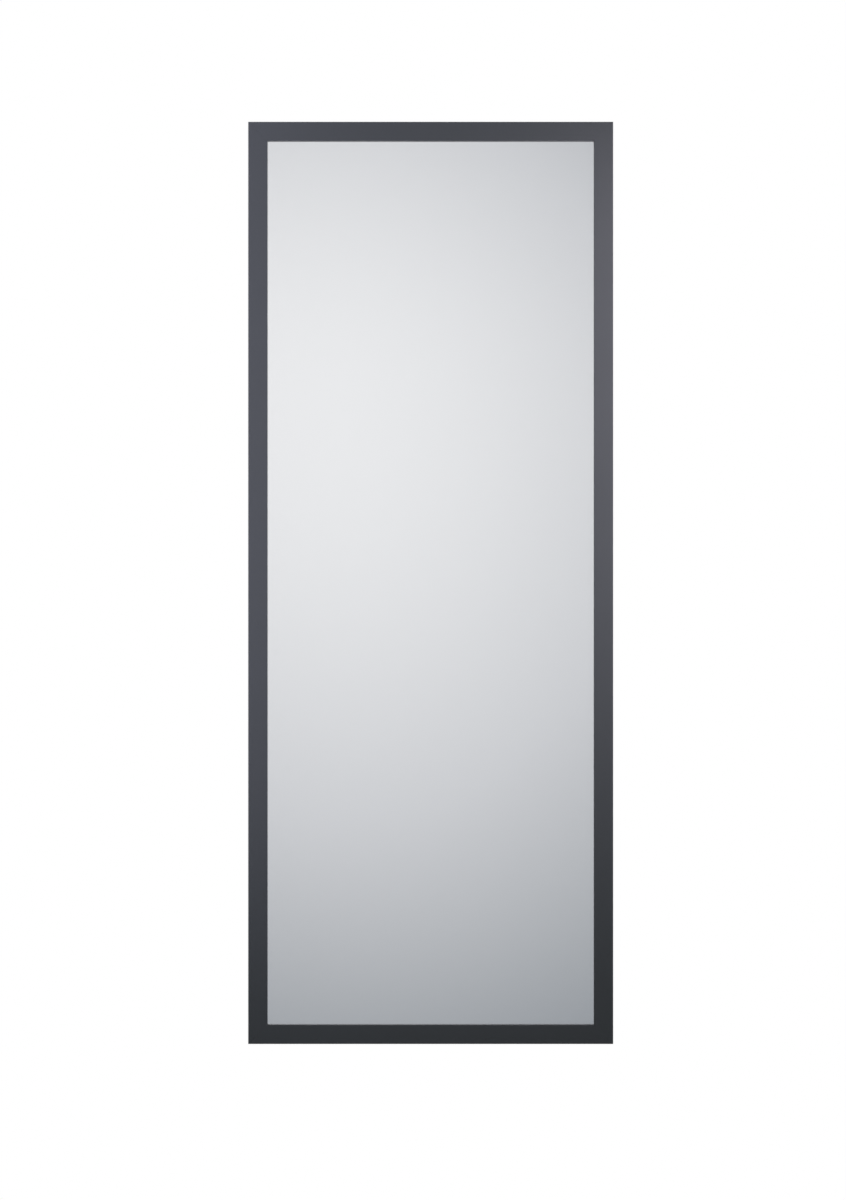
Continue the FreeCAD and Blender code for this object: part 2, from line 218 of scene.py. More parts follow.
def floatGlass():
    # clear float glass: fire polished, colourless from the front, with a very long and soft wave
    material, tree, place = newMaterial("clearFloatGlass")
    wave = addNode(
        tree, "ShaderNodeTexNoise", {"Scale": scaleFor(clearGlass["waveSize"]), "Detail": 0.0},
        {"Vector": place},
    )
    relief = addNode(
        tree, "ShaderNodeBump",
        {"Strength": clearGlass["waveStrength"], "Distance": clearGlass["waveDepth"] * mm},
        {"Height": wave.outputs[0]},
    )
    closeMaterial(
        tree,
        {"Base Color": linearColour(clearGlass["tint"]), "Roughness": 0.0, "IOR": clearGlass["ior"],
         "Transmission Weight": 1.0},
        {"Normal": relief.outputs[0]},
    )
    return material


silver = {"bright": "#f6f6f6", "paint": "#8d9498", "paintFrom": 0.03}


def mirrorSilver():
    # chemically deposited silver under the glass: a clear bright mirror, turned grey on its back,
    # where it is painted over
    material, tree, place = newMaterial("mirrorSilver")
    axes = addNode(tree, "ShaderNodeSeparateXYZ", {}, {0: place})
    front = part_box("silver_layer")[0].y
    back = addNode(
        tree, "ShaderNodeMath", {"operation": "GREATER_THAN", 1: front + silver["paintFrom"] * mm},
        {0: axes.outputs["Y"]},
    )
    bright, paint = linearColour(silver["bright"]), linearColour(silver["paint"])
    tone = addNode(
        tree, "ShaderNodeMix", {"data_type": "RGBA", colourA: bright, colourB: paint}, {0: back.outputs[0]}
    )
    closeMaterial(tree, {"Metallic": 1.0, "Roughness": 0.0}, {"Base Color": tone.outputs[colourOut]})
    return material


hardboard = {
    "pale": "#906a47", "dark": "#795535", "cloudSize": 160, "cloudShare": 0.2, "strandLength": 4.5,
    "strandWidth": 0.8, "strandTurns": (8, 47, 79, 118, 151), "strandSpread": (0.45, 0.75),
    "roughness": (0.5, 0.75), "reliefStrength": 0.3, "reliefDepth": 0.08, "ior": 1.5,
}


def brownHardboard():
    # pressed hardboard: hard warm brown sheet, even from afar, with fine strands felted every way
    # and a dull gloss
    material, tree, place = newMaterial("brownHardboard")
    cloud = addNode(
        tree, "ShaderNodeTexNoise", {"Scale": scaleFor(hardboard["cloudSize"]), "Detail": 2.0},
        {"Vector": place},
    )
    # real strands are about 0.2 mm wide and 3 mm long, drawn coarser so that they show
    felt = crossedStreaks(
        tree, place, hardboard["strandTurns"], hardboard["strandLength"], hardboard["strandWidth"]
    )
    low, high = hardboard["strandSpread"]
    spread = addNode(tree, "ShaderNodeMapRange", {"From Min": low, "From Max": high}, {"Value": felt})
    both = addNode(
        tree, "ShaderNodeMix", {"data_type": "FLOAT", 0: hardboard["cloudShare"]},
        {numberA: spread.outputs[0], numberB: cloud.outputs[0]},
    )
    dark, pale = linearColour(hardboard["dark"]), linearColour(hardboard["pale"])
    tone = addNode(
        tree, "ShaderNodeMix", {"data_type": "RGBA", colourA: dark, colourB: pale}, {0: both.outputs[0]}
    )
    smooth, dull = hardboard["roughness"]
    gloss = addNode(
        tree, "ShaderNodeMapRange", {"To Min": smooth, "To Max": dull}, {"Value": spread.outputs[0]}
    )
    relief = addNode(
        tree, "ShaderNodeBump",
        {"Strength": hardboard["reliefStrength"], "Distance": hardboard["reliefDepth"] * mm},
        {"Height": felt},
    )
    closeMaterial(
        tree, {"IOR": hardboard["ior"]},
        {"Base Color": tone.outputs[colourOut], "Roughness": gloss.outputs[0], "Normal": relief.outputs[0]},
    )
    return material


kraft = {
    "pale": "#b99567", "dark": "#9c7748", "fluteSize": 6.5, "fluteWander": 0.4, "roughness": 0.9, "ior": 1.5,
    "bandsAtOne": 3.18,  # stripes in a metre that a wave texture has at a scale of one
}


def corrugatedCardboard():
    # kraft cardboard: dull buff paper that shows the flutes under its liner as soft stripes
    material, tree, place = newMaterial("corrugatedCardboard")
    flute = addNode(
        tree, "ShaderNodeTexWave",
        {"bands_direction": "X", "Scale": scaleFor(kraft["fluteSize"]) / kraft["bandsAtOne"],
         "Distortion": kraft["fluteWander"]},
        {"Vector": place},
    )
    dark, pale = linearColour(kraft["dark"]), linearColour(kraft["pale"])
    tone = addNode(
        tree, "ShaderNodeMix", {"data_type": "RGBA", colourA: dark, colourB: pale}, {0: flute.outputs[1]}
    )
    closeMaterial(
        tree, {"Roughness": kraft["roughness"], "IOR": kraft["ior"]}, {"Base Color": tone.outputs[colourOut]}
    )
    return material


zinc = {
    "blue": "#b4bbc4", "warm": "#cfccc2", "cloudSize": 7, "grainSize": 0.9, "roughness": (0.19, 0.34),
    "scratchLength": 5.0, "scratchWidth": 0.16, "scratchTurns": (17, 64, 103, 148),
    "scratchSpread": (0.6, 0.78), "scratchRough": 0.12, "scratchStrength": 0.5, "scratchDepth": 0.016,
}


def zincPlatedSteel():
    # pressed steel with a clear passivated zinc plating: bright, slightly clouded, with a faint blue
    # and straw cast and the fine scratches of tumbling
    material, tree, place = newMaterial("zincPlatedSteel")
    tone, _ = mottledTone(tree, place, zinc["blue"], zinc["warm"], zinc["cloudSize"], detail=2.0)
    grain = addNode(
        tree, "ShaderNodeTexNoise", {"Scale": scaleFor(zinc["grainSize"]), "Detail": 3.0}, {"Vector": place}
    )
    smooth, dull = zinc["roughness"]
    gloss = addNode(
        tree, "ShaderNodeMapRange", {"To Min": smooth, "To Max": dull}, {"Value": grain.outputs[0]}
    )
    # real scratches are about 0.05 mm wide, drawn coarser so that they show
    streaks = crossedStreaks(tree, place, zinc["scratchTurns"], zinc["scratchLength"], zinc["scratchWidth"])
    low, high = zinc["scratchSpread"]
    scratch = addNode(tree, "ShaderNodeMapRange", {"From Min": low, "From Max": high}, {"Value": streaks})
    worn = addNode(
        tree, "ShaderNodeMath", {"operation": "MULTIPLY_ADD", 1: zinc["scratchRough"]},
        {0: scratch.outputs[0], 2: gloss.outputs[0]},
    )
    relief = addNode(
        tree, "ShaderNodeBump",
        {"Strength": zinc["scratchStrength"], "Distance": zinc["scratchDepth"] * mm, "invert": True},
        {"Height": scratch.outputs[0]},
    )
    closeMaterial(
        tree, {"Metallic": 1.0},
        {"Base Color": tone, "Roughness": worn.outputs[0], "Normal": relief.outputs[0]},
    )
    return material


nailSteel = {"dark": "#6f7275", "bright": "#94979a", "mottleSize": 0.8, "roughness": 0.45}


def bareNailSteel():
    # rolled spring steel of the corner nails: bare grey metal with a fine dull mottle
    material, tree, place = newMaterial("rolledNailSteel")
    tone, _ = mottledTone(
        tree, place, nailSteel["dark"], nailSteel["bright"], nailSteel["mottleSize"], detail=3.0
    )
    closeMaterial(tree, {"Metallic": 1.0, "Roughness": nailSteel["roughness"]}, {"Base Color": tone})
    return material


rubber = {
    "dark": "#19191a", "light": "#262627", "grainSize": 0.7, "reliefStrength": 0.25, "reliefDepth": 0.05,
    "roughness": 0.72, "ior": 1.52,
}


def blackRubber():
    # moulded natural rubber: soft black, dusty in the light, with the fine matt skin of its mould
    material, tree, place = newMaterial("mouldedBlackRubber")
    tone, grain = mottledTone(tree, place, rubber["dark"], rubber["light"], rubber["grainSize"], detail=3.0)
    relief = addNode(
        tree, "ShaderNodeBump",
        {"Strength": rubber["reliefStrength"], "Distance": rubber["reliefDepth"] * mm}, {"Height": grain},
    )
    closeMaterial(
        tree, {"Roughness": rubber["roughness"], "IOR": rubber["ior"]},
        {"Base Color": tone, "Normal": relief.outputs[0]},
    )
    return material


softVinyl = {"dark": "#242527", "light": "#2f3033", "grainSize": 0.8, "roughness": 0.5, "ior": 1.53}


def glazingVinyl():
    # extruded soft vinyl of the glazing blocks: charcoal, faintly glossy, with a fine even grain
    material, tree, place = newMaterial("extrudedVinyl")
    tone, _ = mottledTone(
        tree, place, softVinyl["dark"], softVinyl["light"], softVinyl["grainSize"], detail=2.0
    )
    closeMaterial(tree, {"Roughness": softVinyl["roughness"], "IOR": softVinyl["ior"]}, {"Base Color": tone})
    return material


foilSkin = satinFoil()
boardCore = rawFibreboard()
zincSkin = zincPlatedSteel()
rubberSkin = blackRubber()
vinylSkin = glazingVinyl()
print("finishes ready")


def gridFaces(rows, columns, closeRows, closeColumns):
    # quads between the neighbours on a grid of points, wrapped round where the grid closes on itself
    index = np.arange(rows * columns).reshape(rows, columns)
    index = np.vstack([index, index[:1]]) if closeRows else index
    index = np.hstack([index, index[:, :1]]) if closeColumns else index
    corners = [index[:-1, :-1], index[1:, :-1], index[1:, 1:], index[:-1, 1:]]
    return np.stack(corners, -1).reshape(-1, 4)


def tubeFaces(rows, columns):
    # quads round a tube of closed rings, and one flat face over each end
    count = rows * columns
    ends = [list(range(columns)), list(range(count - columns, count))]
    return gridFaces(rows, columns, False, True).tolist() + ends


def outwardMesh(name, points, faces):
    # a smooth mesh of the points and faces, turned outwards
    mesh = bpy.data.meshes.new(name)
    mesh.from_pydata(points.reshape(-1, 3).tolist(), [], faces)
    shell = bmesh.new()
    shell.from_mesh(mesh)
    bmesh.ops.recalc_face_normals(shell, faces=shell.faces)
    shell.to_mesh(mesh)
    shell.free()
    mesh.polygons.foreach_set("use_smooth", np.ones(len(mesh.polygons), bool))
    return mesh


def buildPiece(
    name, points, faces, body, replaced, materials, faceMaterials=None, sharpAngle=edgeAngle
):
    # a piece of the points and faces that rides on its body and stands for its nodes
    mesh = outwardMesh(name, points, faces)
    mesh.set_sharp_from_angle(angle=np.radians(sharpAngle))
    for material in materials:
        mesh.materials.append(material)
    if faceMaterials is not None:
        mesh.polygons.foreach_set("material_index", faceMaterials)
    piece = bpy.data.objects.new(name, mesh)
    bpy.context.scene.collection.objects.link(piece)
    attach(piece, body)
    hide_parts(*replaced)
    return piece


def mergePoles(piece):
    # rings of no width, as at a screw's point or a bumper's middle, become one point each
    shell = bmesh.new()
    shell.from_mesh(piece.data)
    bmesh.ops.remove_doubles(shell, verts=shell.verts, dist=weld)
    bmesh.ops.dissolve_degenerate(shell, edges=shell.edges, dist=weld)
    bmesh.ops.recalc_face_normals(shell, faces=shell.faces)
    shell.to_mesh(piece.data)
    shell.free()
    piece.data.set_sharp_from_angle(angle=np.radians(edgeAngle))


def arcPoints(centre, radius, startAngle, endAngle, steps):
    # a circle's stretch: the centre plus the radius times cosine and sine of each angle
    angle = np.radians(np.linspace(startAngle, endAngle, steps))
    return np.stack([centre[0] + radius * np.cos(angle), centre[1] + radius * np.sin(angle)], 1)


def fourCorners(steps):
    # the angles round a rounded rectangle, corner by corner, and the signs of each corner's place
    turn = np.repeat(np.arange(4) * 90, steps) + np.tile(np.linspace(0, 90, steps), 4)
    signs = np.repeat(np.array([(1, 1), (-1, 1), (-1, -1), (1, -1)]), steps, 0)
    return np.radians(turn), signs


strip = {
    "outerRound": 1.2 * mm, "backRound": 0.8 * mm, "lipRound": 0.8 * mm, "arris": 0.3 * mm,
    "foilWrap": 7.0 * mm, "foilThickness": 0.12 * mm, "mitreEase": 0.08 * mm, "backEase": 0.2 * mm,
    "support": 0.3 * mm, "supportFrom": 1.2 * mm, "arcSteps": 7,
}
stripLow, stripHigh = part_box("frame_stile_left")
glassLow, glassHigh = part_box("mirror_glass")
faceWidth = stripHigh.x - stripLow.x
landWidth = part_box("edge_spacers")[0].x - stripLow.x  # from the outside to the wall of the rebate
frontY, backY, lipY = stripLow.y, stripHigh.y, glassLow.y
halfWidth, halfHeight = -stripLow.x, stripHigh.z


def stripSection():
    # closed outline of the strip, x in from the outside and y to the back:
    # rebate, back land, outer side, front and lip
    coreY = backY - strip["foilThickness"]
    wrap, arris, steps = strip["foilWrap"], strip["arris"], strip["arcSteps"]
    backRound, outerRound, lipRound = strip["backRound"], strip["outerRound"], strip["lipRound"]
    return np.vstack([
        [(landWidth, lipY), (landWidth, coreY - arris), (landWidth - arris, coreY)],
        [(wrap, coreY), (wrap, backY)],
        arcPoints((backRound, backY - backRound), backRound, 90, 180, steps),
        arcPoints((outerRound, frontY + outerRound), outerRound, 180, 270, steps),
        arcPoints((faceWidth - lipRound, frontY + lipRound), lipRound, 270, 360, steps),
        arcPoints((faceWidth - arris, lipY - arris), arris, 0, 90, steps),
    ])


def addSupports(outline):
    # every long stretch gets a point close to each of its ends, which keeps the flats flat
    stretch = np.roll(outline, -1, 0) - outline
    length = np.linalg.norm(stretch, axis=1, keepdims=True)
    offset = stretch / length * strip["support"]
    trio = np.stack([outline, outline + offset, outline + stretch - offset], 1)
    kept = np.repeat(length > strip["supportFrom"], 3, 1)
    kept[:, 0] = True
    return trio[kept]


def frameStrip(side):
    # the section carried along the strip, with both ends cut on the 45 degree line and eased a little
    outline = addSupports(stripSection())
    run = np.roll(outline, -1, 0) - np.roll(outline, 1, 0)
    outward = np.stack([run[:, 1], -run[:, 0]], 1) / np.linalg.norm(run, axis=1, keepdims=True)
    onBack = outline[:, 1] > backY - strip["backRound"]
    easeSize = np.where(onBack, strip["backEase"], strip["mitreEase"])  # the bare back shows its saw cut
    eased = outline - outward * easeSize[:, None]
    reach = halfHeight if side in ("left", "right") else halfWidth
    rings = np.stack([eased, outline, outline, eased])
    ease = easeSize * np.array([0, 1, 1, 0])[:, None]
    ends = np.array([-1, -1, 1, 1])[:, None]
    along = ends * (reach - rings[:, :, 0] - ease)
    across = rings[:, :, 0]
    depth = rings[:, :, 1]
    places = {
        "left": (across - halfWidth, depth, along),
        "right": (halfWidth - across, depth, along),
        "top": (along, depth, halfHeight - across),
        "bottom": (along, depth, across - halfHeight),
    }
    points = np.stack(places[side], -1)
    middle = (outline + np.roll(outline, -1, 0)) / 2
    bare = (middle[:, 0] > strip["foilWrap"] - hair) & (middle[:, 1] > lipY + hair)
    faceMaterials = np.concatenate([np.tile(bare, len(rings) - 1), [True, True]]).astype(int)
    return points, tubeFaces(len(rings), len(outline)), faceMaterials


stripNames = {
    "left": "frame_stile_left", "right": "frame_stile_right", "top": "frame_rail_top",
    "bottom": "frame_rail_bottom",
}
stripSkins = [foilSkin, boardCore]
for side, node in stripNames.items():
    points, faces, faceMaterials = frameStrip(side)
    buildPiece(node + "_foiled", points, faces, "mirror", [node], stripSkins, faceMaterials)
print("frame strips built")

pane = {
    "cornerRadius": 0.8 * mm, "edge": 0.5 * mm, "cornerSteps": 4, "sharpAngle": 20,
    "clear": 0.03 * mm,  # keeps the faces of the glass off the lip and off the silver
}
backing = {"cornerRadius": 3.0 * mm, "edge": 0.35 * mm, "cornerSteps": 8, "sharpAngle": 30}


def roundedSlab(low, high, slab):
    # a rounded rectangle carried through the thickness, drawn in by the width of its edge at both faces
    turn, signs = fourCorners(slab["cornerSteps"])
    radius, edge = slab["cornerRadius"], slab["edge"]
    inset = np.array([edge, 0, 0, edge])[:, None]
    depth = np.array([low.y, low.y + edge, high.y - edge, high.y])[:, None]
    half = (high - low) / 2
    middle = (high + low) / 2
    x = middle.x + signs[:, 0] * (half.x - radius) + (radius - inset) * np.cos(turn)
    z = middle.z + signs[:, 1] * (half.z - radius) + (radius - inset) * np.sin(turn)
    return np.stack([x, np.broadcast_to(depth, x.shape), z], -1), tubeFaces(len(depth), len(turn))


paneClear = Vector((0, pane["clear"], 0))
points, faces = roundedSlab(glassLow + paneClear, glassHigh - paneClear, pane)
buildPiece(
    "mirror_glass_pane", points, faces, "mirror", ["mirror_glass"], [floatGlass()],
    sharpAngle=pane["sharpAngle"],
)
points, faces = roundedSlab(*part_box("back_panel"), backing)
buildPiece(
    "back_panel_board", points, faces, "mirror", ["back_panel"], [brownHardboard()],
    sharpAngle=backing["sharpAngle"],
)
print("glass and back panel built")

button = {
    "hole": 1.7 * mm, "edge": 0.25 * mm, "ribHeight": 0.45 * mm, "ribWidth": 1.7 * mm, "ribStart": 6.5 * mm,
    "ribEnd": 17.0 * mm, "arcSteps": 28, "sideSteps": 16, "rings": 14, "rimSteps": 4, "sharpAngle": 40,
    "ribSides": 4, "ribEnds": 6,  # powers of the rib's bells, higher ones fall off more steeply
}


def turnButton(node):
    # plate between its hole and its outline, both followed round the pivot, and a rib that swells from
    # the upper face: its height is a bell across the rib times a bell along it
    low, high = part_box(node)
    pivot = pivots[node]
    toTip = max((high - pivot, low - pivot), key=lambda reach: max(abs(reach.x), abs(reach.z)))
    lying = abs(toTip.x) > abs(toTip.z)
    inward = Vector((np.sign(toTip.x), 0, 0)) if lying else Vector((0, 0, np.sign(toTip.z)))
    half = min(high.x - low.x, high.z - low.z) / 2
    tip = max(high.x - low.x, high.z - low.z) - 2 * half
    sideRun = np.linspace(0, tip, button["sideSteps"] + 2)[1:-1]
    outline = np.vstack([
        arcPoints((0, 0), half, -180, 0, button["arcSteps"]),
        np.stack([np.full_like(sideRun, half), sideRun], 1),
        arcPoints((0, tip), half, 0, 180, button["arcSteps"]),
        np.stack([np.full_like(sideRun, -half), sideRun[::-1]], 1),
    ])
    bearing = outline / np.linalg.norm(outline, axis=1, keepdims=True)
    hole = bearing * button["hole"]
    edge, thick = button["edge"], high.y - low.y
    # shares from the hole to the outline, with a small round at both rims
    flat = np.linspace(0, 1, button["rings"])[:-1]
    rimTurn = np.radians(np.linspace(0, 90, button["rimSteps"]))
    rimInset = edge * (1 - np.sin(rimTurn))
    rimRise = edge * (1 - np.cos(rimTurn))
    share = np.concatenate([flat, np.ones(2 * len(rimTurn)), flat[::-1]])
    inset = np.concatenate([np.full(len(flat), edge), rimInset, rimInset[::-1], np.full(len(flat), edge)])
    level = np.concatenate([np.zeros(len(flat)), rimRise, thick - rimRise[::-1], np.full(len(flat), thick)])
    drawn = outline - bearing * inset[:, None, None]
    flatPlace = hole + (drawn - hole) * share[:, None, None]
    across, along = flatPlace[..., 0], flatPlace[..., 1]
    ribMiddle = (button["ribStart"] + button["ribEnd"]) / 2
    ribHalf = (button["ribEnd"] - button["ribStart"]) / 2
    bellAcross = np.exp(-(across / button["ribWidth"]) ** button["ribSides"])
    bellAlong = np.exp(-((along - ribMiddle) / ribHalf) ** button["ribEnds"])
    upper = (level == thick)[:, None]
    height = low.y + level[:, None] + np.where(upper, button["ribHeight"] * (bellAcross * bellAlong), 0)
    sideways = Vector((inward.z, 0, -inward.x))
    x = pivot.x + inward.x * along + sideways.x * across
    z = pivot.z + inward.z * along + sideways.z * across
    points = np.stack([x, height, z], -1)
    return points, gridFaces(*points.shape[:2], True, True).tolist()


buttonNodes = sorted(node for node in pivots if node.startswith("turn_button"))
for node in buttonNodes:
    points, faces = turnButton(node)
    buildPiece(
        node + "_plate", points, faces, node, [node], [zincSkin],
        sharpAngle=button["sharpAngle"],
    )
print("turn buttons built")

screw = {
    "headRadius": 3.2 * mm, "rim": 0.8 * mm, "dome": 1.4 * mm, "shankRadius": 1.5 * mm, "point": 3.0 * mm,
    "crossLength": 3.6 * mm, "crossWidth": 1.0 * mm, "crossDepth": 1.3 * mm, "crossWall": 0.12 * mm,
    "crossTaper": 0.6, "edge": 0.15 * mm, "armSteps": 5, "outerSteps": 7, "turnStep": 37,
}
headHeight = screw["rim"] + screw["dome"]


def screwCrown():
    # a square grid with its lines on the walls of the cross: its squares stay square over the cross and
    # swell to circles at the rim, and its height is a dome, less the cross, which is shallower towards
    # its four ends
    radius, dome = screw["headRadius"], screw["dome"]
    domeRadius = (radius ** 2 + dome ** 2) / (2 * dome)
    armLength, armHalf, wall = screw["crossLength"] / 2, screw["crossWidth"] / 2, screw["crossWall"]
    side = np.concatenate([
        [0, armHalf - wall, armHalf],
        np.linspace(armHalf, armLength - wall, screw["armSteps"])[1:],
        np.linspace(armLength, radius, screw["outerSteps"]),
    ])
    lines = np.concatenate([-side[:0:-1], side])
    u, v = np.meshgrid(lines, lines, indexing="ij")
    square = np.maximum(np.abs(u), np.abs(v))
    swell = np.clip((square - armLength) / (radius - armLength), 0, 1)
    distance = np.hypot(u, v)
    toCircle = square / np.where(distance == 0, 1, distance)
    stretch = 1 + swell * (toCircle - 1)
    x, z = u * stretch, v * stretch
    armU = np.maximum(np.abs(u) - armLength, np.abs(v) - armHalf)
    armV = np.maximum(np.abs(v) - armLength, np.abs(u) - armHalf)
    inside = np.clip(-np.minimum(armU, armV) / wall, 0, 1)
    cross = screw["crossDepth"] * inside * (1 - screw["crossTaper"] * square / armLength)
    height = headHeight - domeRadius + np.sqrt(domeRadius ** 2 - x ** 2 - z ** 2) - cross
    return np.stack([x, height, z], -1)


def panScrew(length):
    # the crown, and below it the side of the head, the shank and the point, turned from one profile that
    # follows the crown's rim
    crown = screwCrown()
    count = len(crown)
    index = np.arange(count * count).reshape(count, count)
    rimIndex = np.concatenate([index[:-1, 0], index[-1, :-1], index[:0:-1, -1], index[0, :0:-1]])
    rimPlace = crown.reshape(-1, 3)[rimIndex]
    radius, edge, shank = screw["headRadius"], screw["edge"], screw["shankRadius"]
    profile = np.array([
        (radius, edge), (radius - edge, 0), (shank, 0), (shank, screw["point"] - length), (0, -length),
    ])
    share = profile[:, :1] / radius
    turnedHeight = np.broadcast_to(profile[:, 1:], (len(profile), len(rimIndex)))
    turned = np.stack([share * rimPlace[:, 0], turnedHeight, share * rimPlace[:, 2]], -1)
    rings = np.vstack([rimIndex, count * count + np.arange(turnedHeight.size).reshape(turnedHeight.shape)])
    turnedQuads = rings.reshape(-1)[gridFaces(*rings.shape, False, True)]
    quads = np.vstack([gridFaces(count, count, False, False), turnedQuads])
    return np.vstack([crown.reshape(-1, 3), turned.reshape(-1, 3)]), quads


def placeScrews(node, places):
    # all screws of one node, each driven to another angle, on the level where the node's heads stand
    low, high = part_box(node)
    seat = high.y - headHeight
    local, quads = panScrew(seat - low.y)
    headX, headZ = np.array(places).T[..., None]
    turn = np.radians(screw["turnStep"] * np.arange(len(places)))[:, None]
    x = headX + local[:, 0] * np.cos(turn) - local[:, 2] * np.sin(turn)
    z = headZ + local[:, 0] * np.sin(turn) + local[:, 2] * np.cos(turn)
    points = np.stack([x, np.broadcast_to(seat + local[:, 1], x.shape), z], -1)
    starts = np.arange(len(places))[:, None, None] * len(local)
    faces = (quads + starts).reshape(-1, 4).tolist()
    mergePoles(buildPiece(node + "_turned", points, faces, "mirror", [node], [zincSkin]))


placeScrews("turn_button_screws", [(pivots[node].x, pivots[node].z) for node in buttonNodes])

hanger = {
    "thickness": 1.2 * mm, "slit": 15.0, "cornerRadius": 4.0 * mm, "edge": 0.22 * mm, "eyeLead": 0.3 * mm,
    "hole": 1.6 * mm, "lastHole": 6.0 * mm, "holeSpacing": 14.0 * mm, "cornerSteps": 10, "eyeSteps": 40,
    "edgeSteps": 4, "holeSteps": 32, "sharpAngle": 12,  # so the wide faces look flat up to their eased edges
}


def hangerStrap(node, axis):
    # a flat section with eased edges carried up the strap and round the eye; its width grows from the
    # round end as the sine of the corner's angle
    low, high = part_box(node)
    thick, edge, cornerRadius = hanger["thickness"], hanger["edge"], hanger["cornerRadius"]
    eyeRadius = axis.y - low.y - thick / 2
    corner = np.radians(np.linspace(0, 90, hanger["cornerSteps"]))
    eye = np.radians(np.linspace(-90, -360 - hanger["slit"], hanger["eyeSteps"]))
    straightZ = np.append(low.z + cornerRadius * (1 - np.cos(corner)), axis.z - hanger["eyeLead"])
    y = np.concatenate([np.full(len(straightZ), low.y + thick / 2), axis.y + eyeRadius * np.sin(eye)])
    z = np.concatenate([straightZ, axis.z - eyeRadius * np.cos(eye)])
    normalY = np.concatenate([np.full(len(straightZ), -1.0), np.sin(eye)])
    normalZ = np.concatenate([np.zeros(len(straightZ)), -np.cos(eye)])
    full = (high.x - low.x) / 2
    half = np.full(len(y), full)
    half[:len(corner)] = full - cornerRadius * (1 - np.sin(corner))
    turn, signs = fourCorners(hanger["edgeSteps"])
    across = signs[:, 0] * (half[:, None] - edge) + edge * np.cos(turn)
    out = np.broadcast_to(signs[:, 1] * (thick / 2 - edge) + edge * np.sin(turn), across.shape)
    outY, outZ = normalY[:, None] * out, normalZ[:, None] * out
    points = np.stack([axis.x + across, y[:, None] + outY, z[:, None] + outZ], -1)
    return points, tubeFaces(*points.shape[:2])


def punchHole(strap, place):
    # a round hole through the strap, cut by a pin: one circle in front of the strap and one behind it
    rim = arcPoints(place, hanger["hole"], 0, 360, hanger["holeSteps"] + 1)[:-1]
    ends = backY + hanger["thickness"] * np.array([-1, 2])[:, None]
    points = np.stack(np.broadcast_arrays(rim[:, 0], ends, rim[:, 1]), -1)
    pin = bpy.data.objects.new("strapPin", outwardMesh("strapPin", points, tubeFaces(*points.shape[:2])))
    bpy.context.scene.collection.objects.link(pin)
    strap.modifiers.new("hole", "BOOLEAN").object = pin
    shell = bmesh.new()
    shell.from_object(strap, bpy.context.evaluated_depsgraph_get())
    shell.to_mesh(strap.data)
    shell.free()
    strap.modifiers.clear()
    bpy.data.meshes.remove(pin.data)  # takes the pin with it
    strap.data.set_sharp_from_angle(angle=np.radians(hanger["sharpAngle"]))


ring = {
    "wire": 2.5 * mm, "bend": 2.75 * mm, "leg": 3.5 * mm, "bendSteps": 9, "bowSteps": 36, "wireSteps": 18,
}


def hangerRing(node, axis):
    # round wire carried along a D: the straight bar in the eye, two bends, two legs and a half circle
    low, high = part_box(node)
    wire, bend = ring["wire"] / 2, ring["bend"]
    half = (high.x - low.x) / 2 - wire
    shoulder = bend + ring["leg"]
    right = np.radians(np.linspace(90, 0, ring["bendSteps"]))
    bow = np.radians(np.linspace(0, -180, ring["bowSteps"]))
    left = np.radians(np.linspace(180, 90, ring["bendSteps"]))
    angle = np.concatenate([right, bow, left])
    counts = [len(right), len(bow), len(left)]
    radius = np.repeat([bend, half, bend], counts)
    centreX = np.repeat([half - bend, 0, bend - half], counts)
    centreZ = np.repeat([-bend, -shoulder, -bend], counts)
    turn = np.radians(np.arange(ring["wireSteps"]) * 360 / ring["wireSteps"])
    reach = radius[:, None] + wire * np.cos(turn)
    x = axis.x + centreX[:, None] + reach * np.cos(angle)[:, None]
    z = axis.z + centreZ[:, None] + reach * np.sin(angle)[:, None]
    y = np.broadcast_to(axis.y + wire * np.sin(turn), x.shape)
    points = np.stack([x, y, z], -1)
    return points, gridFaces(*points.shape[:2], True, True).tolist()


hangerPlaces = []
for side in ("left", "right"):
    strapNode, ringNode = "hanger_strap_" + side, "hanger_ring_" + side
    axis = pivots[ringNode]
    points, faces = hangerStrap(strapNode, axis)
    strap = buildPiece(strapNode + "_plate", points, faces, "mirror", [strapNode], [zincSkin])
    # the holes, which also set the strap's sharp edges
    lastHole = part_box(strapNode)[0].z + hanger["lastHole"]
    for place in ((axis.x, lastHole), (axis.x, lastHole + hanger["holeSpacing"])):
        punchHole(strap, place)
        hangerPlaces.append(place)
    points, faces = hangerRing(ringNode, axis)
    buildPiece(ringNode + "_wire", points, faces, ringNode, [ringNode], [zincSkin])
placeScrews("hanger_screws", hangerPlaces)
print("hangers and screws built")

bumper = {
    "taper": 0.75 * mm, "edge": 1.0 * mm, "dish": 0.3 * mm, "flange": 0.35 * mm, "baseEase": 0.1 * mm,
    "flangeStep": 0.25 * mm, "flangeFall": 0.15 * mm, "turns": 48, "arcSteps": 8, "dishSteps": 10,
}


